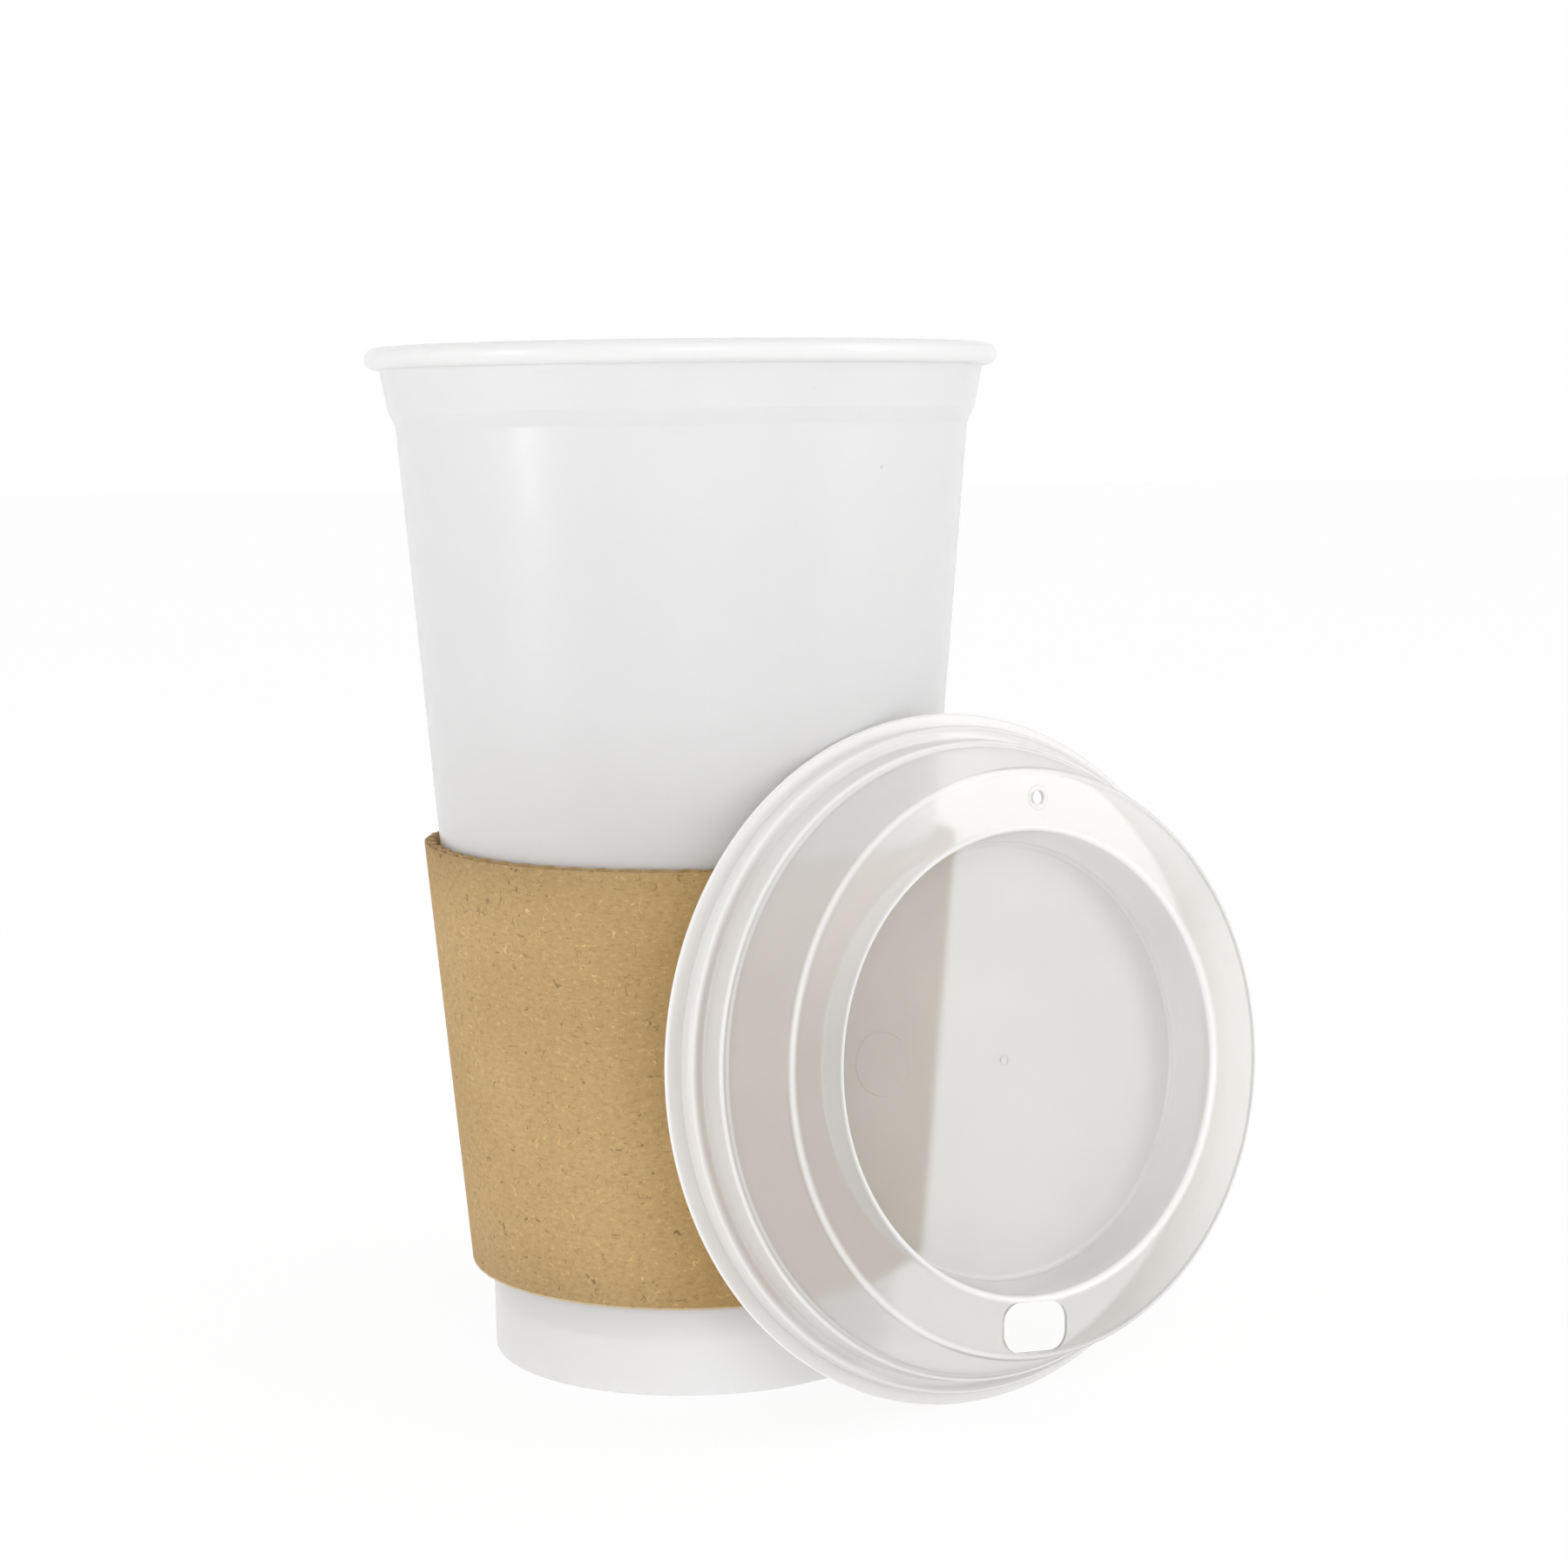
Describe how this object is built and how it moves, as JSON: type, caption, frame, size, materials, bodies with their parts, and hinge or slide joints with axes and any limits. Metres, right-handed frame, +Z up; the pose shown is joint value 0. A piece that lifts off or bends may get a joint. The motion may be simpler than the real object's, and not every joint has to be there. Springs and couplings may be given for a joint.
{
  "type": "stackable tumbler",
  "caption": "Tall tapered drinking tumbler with a rolled rim and a stacking ledge at its heel, a corrugated paper sleeve around it, and a domed sip lid leaning on it.",
  "frame": {"origin": "middle of the tumbler's foot ring, on the table", "axes": "+Z up along the tumbler's axis, -Y towards the front, +X to the right"},
  "size_m": [0.1243, 0.1087, 0.1454],
  "materials": {
    "frosted_plastic": "frosted translucent polypropylene, about 0.8 mm thick",
    "kraft_liner": "unbleached kraft paper, unprinted",
    "kraft_fluting": "corrugated unbleached kraft paper",
    "translucent_white": "thin translucent white polypropylene with a soft gloss"
  },
  "bodies": {
    "root": {"tumbler": "frosted_plastic", "sleeve_liner": "kraft_liner", "sleeve_fluting": "kraft_fluting", "lid": "translucent_white"}
  },
  "joints": []
}
